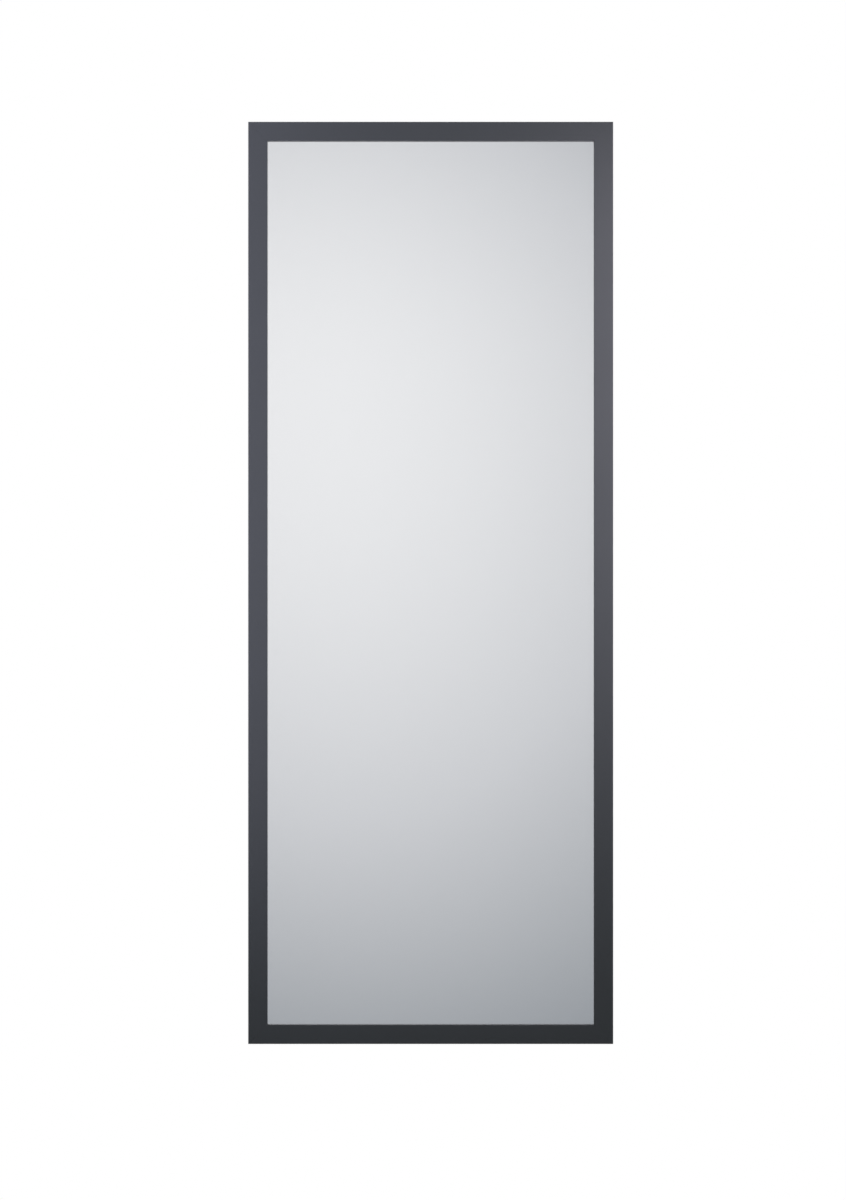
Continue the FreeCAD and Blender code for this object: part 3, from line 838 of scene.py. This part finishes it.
def wallBumper(node):
    # turned from one profile: a small flange, a tapering wall, a round edge and a shallow dish that grips
    # the wall; the dish's drop is its depth times the square of one minus the squared share of its radius
    low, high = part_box(node)
    middle = (low + high) / 2
    base, tall = (high.x - low.x) / 2, high.y - low.y
    edge, flange, ease = bumper["edge"], bumper["flange"], bumper["baseEase"]
    top = base - bumper["taper"]
    dishRun = np.linspace(top - edge, 0, bumper["dishSteps"])[1:]
    dishDrop = bumper["dish"] * (1 - (dishRun / (top - edge)) ** 2) ** 2
    profile = np.vstack([
        [(0, 0), (base - ease, 0), (base, ease), (base, flange)],
        [(base - bumper["flangeStep"], flange + bumper["flangeFall"])],
        arcPoints((top - edge, tall - edge), edge, 0, 90, bumper["arcSteps"]),
        np.stack([dishRun, tall - dishDrop], 1),
    ])
    angle = np.radians(np.arange(bumper["turns"]) * 360 / bumper["turns"])
    x = middle.x + profile[:, :1] * np.cos(angle)
    z = middle.z + profile[:, :1] * np.sin(angle)
    y = np.broadcast_to(low.y + profile[:, 1:], x.shape)
    points = np.stack([x, y, z], -1)
    return points, gridFaces(*points.shape[:2], False, True).tolist()


for node in sorted(name for name in nodes if name.startswith("wall_bumper")):
    points, faces = wallBumper(node)
    mergePoles(buildPiece(node + "_foot", points, faces, "mirror", [node], [rubberSkin]))
print("bumpers built")

# these keep the shape of their CAD nodes
keptNodes = {
    "silver_layer": mirrorSilver(), "cardboard_sheet": corrugatedCardboard(), "corner_nails": bareNailSteel(),
    "setting_blocks": vinylSkin, "edge_spacers": vinylSkin,
}
for node, material in keptNodes.items():
    nodes[node].data.materials.clear()
    nodes[node].data.materials.append(material)
print("inner pieces finished")

# metres, with the height of the picture measured at the front of the frame
view = {"distance": 10.0, "imageHeight": 2.1533, "across": -0.0138, "up": -0.0307}
lens = bpy.data.cameras.new("frontCamera")
# the picture is upright, so the sensor's width lies along its height
lens.lens = lens.sensor_width * view["distance"] / view["imageHeight"]
camera = bpy.data.objects.new("frontCamera", lens)
camera.location = (view["across"], frontY - view["distance"], view["up"])
camera.rotation_euler = (np.pi / 2, 0, 0)
bpy.context.scene.collection.objects.link(camera)
bpy.context.scene.camera = camera


def lightRays(tree):
    # the kinds of light rays, and one on those that look off gloss or through glass
    path = addNode(tree, "ShaderNodeLightPath")
    shine = addNode(
        tree, "ShaderNodeMath", {"operation": "MAXIMUM"},
        {0: path.outputs["Is Glossy Ray"], 1: path.outputs["Is Transmission Ray"]},
    )
    return path, shine


def seenSlopes(tree, place):
    # how far up and how far aside a point lies for each metre away, as the camera sees it in the mirror
    axes = addNode(tree, "ShaderNodeSeparateXYZ", {}, {0: place})
    away = addNode(tree, "ShaderNodeMath", {"operation": "ABSOLUTE"}, {0: axes.outputs["Y"]})
    depth = addNode(tree, "ShaderNodeMath", {"operation": "ADD", 1: view["distance"]}, {0: away.outputs[0]})
    high = addNode(tree, "ShaderNodeMath", {"operation": "SUBTRACT", 1: view["up"]}, {0: axes.outputs["Z"]})
    wide = addNode(
        tree, "ShaderNodeMath", {"operation": "SUBTRACT", 1: view["across"]}, {0: axes.outputs["X"]}
    )
    rise = addNode(tree, "ShaderNodeMath", {"operation": "DIVIDE"}, {0: high.outputs[0], 1: depth.outputs[0]})
    drift = addNode(
        tree, "ShaderNodeMath", {"operation": "DIVIDE"}, {0: wide.outputs[0], 1: depth.outputs[0]}
    )
    return rise.outputs[0], drift.outputs[0]


# rises, drifts and spans are slopes: metres up or aside for each metre away
glow = {
    "peak": 0.915, "middleRise": 0.0362, "middleDrift": -0.0194, "tilt": 0.08, "spanUp": 0.158,
    "spanDown": 0.203, "spanSide": 0.1265, "leastHigh": 0.05, "leastWide": 0.4, "least": 0.3,
    "leastBlend": 0.1, "asideFrom": 0.08, "asideTo": 0.2, "lowRise": -0.1, "highRise": 0.1, "asideLow": 0.55,
    "asideHigh": 0.95, "cool": "#a1a6ac", "light": "#dbdde1", "bright": "#fcfdff", "coolAt": 0.37,
    "lightAt": 0.70,
}


def coveGlow(tree, place):
    # soft glow of the studio, worked out from each point's slopes: a smooth bell in height, wider below
    # its middle than above it and lower to the right, times a smooth bell across; further aside it only
    # grows with height
    rise, drift = seenSlopes(tree, place)
    beside = addNode(tree, "ShaderNodeMath", {"operation": "SUBTRACT", 1: glow["middleDrift"]}, {0: drift})
    above = addNode(tree, "ShaderNodeMath", {"operation": "SUBTRACT", 1: glow["middleRise"]}, {0: rise})
    over = addNode(
        tree, "ShaderNodeMath", {"operation": "MULTIPLY_ADD", 1: glow["tilt"]},
        {0: beside.outputs[0], 2: above.outputs[0]},
    )
    up = addNode(tree, "ShaderNodeMath", {"operation": "DIVIDE", 1: glow["spanUp"]}, {0: over.outputs[0]})
    down = addNode(
        tree, "ShaderNodeMath", {"operation": "DIVIDE", 1: -glow["spanDown"]}, {0: over.outputs[0]}
    )
    reach = addNode(tree, "ShaderNodeMath", {"operation": "MAXIMUM"}, {0: up.outputs[0], 1: down.outputs[0]})
    aside = addNode(tree, "ShaderNodeMath", {"operation": "ABSOLUTE"}, {0: beside.outputs[0]})
    bellHigh = addNode(
        tree, "ShaderNodeMapRange",
        {"interpolation_type": "SMOOTHSTEP", "To Min": 1.0, "To Max": glow["leastHigh"]},
        {"Value": reach.outputs[0]},
    )
    bellWide = addNode(
        tree, "ShaderNodeMapRange",
        {"interpolation_type": "SMOOTHSTEP", "From Max": glow["spanSide"], "To Min": 1.0,
         "To Max": glow["leastWide"]},
        {"Value": aside.outputs[0]},
    )
    bell = addNode(
        tree, "ShaderNodeMath", {"operation": "MULTIPLY"}, {0: bellHigh.outputs[0], 1: bellWide.outputs[0]}
    )
    middle = addNode(
        tree, "ShaderNodeMath", {"operation": "SMOOTH_MAX", 1: glow["least"], 2: glow["leastBlend"]},
        {0: bell.outputs[0]},
    )
    sides = addNode(
        tree, "ShaderNodeMapRange",
        {"interpolation_type": "SMOOTHSTEP", "From Min": glow["lowRise"], "From Max": glow["highRise"],
         "To Min": glow["asideLow"], "To Max": glow["asideHigh"]},
        {"Value": rise},
    )
    outside = addNode(
        tree, "ShaderNodeMapRange",
        {"interpolation_type": "SMOOTHSTEP", "From Min": glow["asideFrom"], "From Max": glow["asideTo"]},
        {"Value": aside.outputs[0]},
    )
    level = addNode(
        tree, "ShaderNodeMix", {"data_type": "FLOAT"},
        {0: outside.outputs[0], numberA: middle.outputs[0], numberB: sides.outputs[0]},
    )
    tones = addNode(tree, "ShaderNodeValToRGB", {}, {0: level.outputs[0]})
    ramp = tones.color_ramp.elements
    ramp[0].color, ramp[1].color = (0, 0, 0, 1), linearColour(glow["bright"])
    ramp.new(glow["coolAt"]).color = linearColour(glow["cool"])
    ramp.new(glow["lightAt"]).color = linearColour(glow["light"])
    return addNode(tree, "ShaderNodeEmission", {"Strength": glow["peak"]}, {"Color": tones.outputs[0]})


def coveMaterial():
    # nothing but the glow, which only the mirror and other gloss see
    material, tree, place = newMaterial("studioCove")
    coveLight = coveGlow(tree, place)
    addNode(tree, "ShaderNodeOutputMaterial", {}, {"Surface": coveLight.outputs[0]})
    return material


floorPaint = {
    "pale": "#e6e6e4", "dim": "#4a4a4a", "cloudSize": 250, "cloudDark": 0.96, "whiteNear": 0.5,
    "whiteFrom": 0.5, "whiteTo": 1.25, "glowFrom": 1.0, "glowTo": 2.6,
}


def floorMaterial():
    # pale painted floor, faintly clouded, that keeps the shadow near the mirror and runs out to white;
    # gloss and glass see the cove's glow on it, little light bounces back, and from below it is clear
    material, tree, place = newMaterial("paleStudioFloor")
    path, shine = lightRays(tree)
    axes = addNode(tree, "ShaderNodeSeparateXYZ", {}, {0: place})
    flat = addNode(tree, "ShaderNodeCombineXYZ", {}, {"X": axes.outputs["X"], "Y": axes.outputs["Y"]})
    radius = addNode(tree, "ShaderNodeVectorMath", {"operation": "LENGTH"}, {0: flat.outputs[0]})
    far = addNode(
        tree, "ShaderNodeMapRange",
        {"interpolation_type": "SMOOTHSTEP", "From Min": floorPaint["glowFrom"],
         "From Max": floorPaint["glowTo"]},
        {0: radius.outputs["Value"]},
    )
    fade = addNode(
        tree, "ShaderNodeMapRange",
        {"interpolation_type": "SMOOTHSTEP", "From Min": floorPaint["whiteFrom"],
         "From Max": floorPaint["whiteTo"], "To Min": floorPaint["whiteNear"]},
        {0: radius.outputs["Value"]},
    )
    white = addNode(
        tree, "ShaderNodeMath", {"operation": "MULTIPLY"},
        {0: fade.outputs[0], 1: path.outputs["Is Camera Ray"]},
    )
    glowing = addNode(
        tree, "ShaderNodeMath", {"operation": "MULTIPLY"}, {0: far.outputs[0], 1: shine.outputs[0]}
    )
    cloud = addNode(
        tree, "ShaderNodeTexNoise", {"Scale": scaleFor(floorPaint["cloudSize"]), "Detail": 3.0},
        {"Vector": place},
    )
    spread = addNode(
        tree, "ShaderNodeMapRange", {"To Min": floorPaint["cloudDark"], "To Max": 1.0}, {0: cloud.outputs[0]}
    )
    pale, dim = linearColour(floorPaint["pale"]), linearColour(floorPaint["dim"])
    paint = addNode(
        tree, "ShaderNodeMix", {"data_type": "RGBA", colourA: pale, colourB: dim},
        {0: path.outputs["Is Diffuse Ray"]},
    )
    tone = addNode(
        tree, "ShaderNodeVectorMath", {"operation": "SCALE"},
        {0: paint.outputs[colourOut], "Scale": spread.outputs[0]},
    )
    matt = addNode(tree, "ShaderNodeBsdfDiffuse", {}, {"Color": tone.outputs[0]})
    bright = addNode(tree, "ShaderNodeEmission", {"Strength": 1.0})
    seen = addNode(
        tree, "ShaderNodeMixShader", {}, {0: white.outputs[0], 1: matt.outputs[0], 2: bright.outputs[0]}
    )
    coveLight = coveGlow(tree, place)
    both = addNode(
        tree, "ShaderNodeMixShader", {}, {0: glowing.outputs[0], 1: seen.outputs[0], 2: coveLight.outputs[0]}
    )
    below = addNode(tree, "ShaderNodeNewGeometry").outputs["Backfacing"]
    clear = addNode(tree, "ShaderNodeBsdfTransparent")
    floor = addNode(tree, "ShaderNodeMixShader", {}, {0: below, 1: both.outputs[0], 2: clear.outputs[0]})
    addNode(tree, "ShaderNodeOutputMaterial", {}, {"Surface": floor.outputs[0]})
    return material


# metres, measured from the upright line through the middle of the mirror
studio = {
    "floorLevel": -1.25, "floorRadius": 4.8, "floorMiddle": 0.2, "floorRings": 30, "coveStart": 3.2,
    "coveSteps": 16, "wallRadius": 5.0, "wallTop": 4.0, "turns": 96, "fill": "#082e08", "white": "#ffffff",
}


def stagePiece(name, profile, material, capped):
    # a profile of radius and height turned round the upright axis, capped by one face over its first ring
    angle = np.radians(np.arange(studio["turns"]) * 360 / studio["turns"])
    x = profile[:, :1] * np.cos(angle)
    y = profile[:, :1] * np.sin(angle)
    z = np.broadcast_to(profile[:, 1:], x.shape)
    points = np.stack([x, y, z], -1)
    faces = gridFaces(*x.shape, False, True).tolist()
    if capped:
        faces.append(list(range(studio["turns"])))
    mesh = bpy.data.meshes.new(name)
    mesh.from_pydata(points.reshape(-1, 3).tolist(), [], faces)
    mesh.materials.append(material)
    mesh.polygons.foreach_set("use_smooth", np.ones(len(mesh.polygons), bool))
    piece = bpy.data.objects.new(name, mesh)
    bpy.context.scene.collection.objects.link(piece)
    return piece


floorZ = studio["floorLevel"]
floorRun = np.linspace(studio["floorMiddle"], studio["floorRadius"], studio["floorRings"])
floorProfile = np.stack([floorRun, np.full_like(floorRun, floorZ)], 1)
stagePiece("studioFloor", floorProfile, floorMaterial(), capped=True)
coveRadius = studio["wallRadius"] - studio["coveStart"]
coveProfile = np.vstack([
    arcPoints((studio["coveStart"], floorZ + coveRadius), coveRadius, 270, 360, studio["coveSteps"]),
    [(studio["wallRadius"], studio["wallTop"])],
])
cove = stagePiece("studioCove", coveProfile, coveMaterial(), capped=False)
cove.visible_camera = False
cove.visible_diffuse = False
cove.visible_shadow = False

world = bpy.data.worlds.new("studioWorld")
world.use_nodes = True
worldTree = world.node_tree
worldTree.nodes.clear()
path, shine = lightRays(worldTree)
seen = addNode(
    worldTree, "ShaderNodeMath", {"operation": "MAXIMUM"},
    {0: path.outputs["Is Camera Ray"], 1: shine.outputs[0]},
)
# white where it is looked at, and a faint greenish fill as a light
air = addNode(
    worldTree, "ShaderNodeMix",
    {"data_type": "RGBA", colourA: linearColour(studio["fill"]), colourB: linearColour(studio["white"])},
    {0: seen.outputs[0]},
)
sky = addNode(worldTree, "ShaderNodeBackground", {"Strength": 1.0}, {"Color": air.outputs[colourOut]})
addNode(worldTree, "ShaderNodeOutputWorld", {}, {"Surface": sky.outputs[0]})
bpy.context.scene.world = world

# places, aims and sizes in metres, power in watts
lamps = {
    "rightSoftbox": {"place": (0.58, -0.34, 0.30), "aim": (0, -0.024, 0.12), "size": (0.5, 1.07),
                     "power": 6.2, "colour": "#fff0f5"},
    "leftSoftbox": {"place": (-0.55, -0.34, 0.37), "aim": (0, -0.024, 0.34), "size": (0.5, 1.82),
                    "power": 5.85, "colour": "#f7eeff"},
    "topSoftbox": {"place": (0, 0.9, 3.4), "aim": (0, 0.5, -1.2), "size": (2.4, 2.4),
                   "power": 150.0, "colour": "#ffffff"},
    "backLeftSoftbox": {"place": (-1.5, 2.0, 0.45), "aim": (0, 0, 0), "size": (1.0, 2.0),
                        "power": 26.0, "colour": "#ffffff"},
    "backRightSoftbox": {"place": (1.5, 2.0, 0.45), "aim": (0, 0, 0), "size": (1.0, 2.0),
                         "power": 31.0, "colour": "#ffffff"},
}
for name, lamp in lamps.items():
    light = bpy.data.lights.new(name, "AREA")
    light.shape = "RECTANGLE"
    light.size, light.size_y = lamp["size"]
    light.energy = lamp["power"]
    light.color = linearColour(lamp["colour"])[:3]
    softbox = bpy.data.objects.new(name, light)
    softbox.location = lamp["place"]
    aim = Vector(lamp["aim"]) - Vector(lamp["place"])
    softbox.rotation_euler = aim.to_track_quat("-Z", "Y").to_euler()
    softbox.visible_camera = False
    softbox.visible_glossy = False
    softbox.visible_transmission = False
    bpy.context.scene.collection.objects.link(softbox)
bpy.context.scene.view_settings.view_transform = "Standard"
print("studio set")
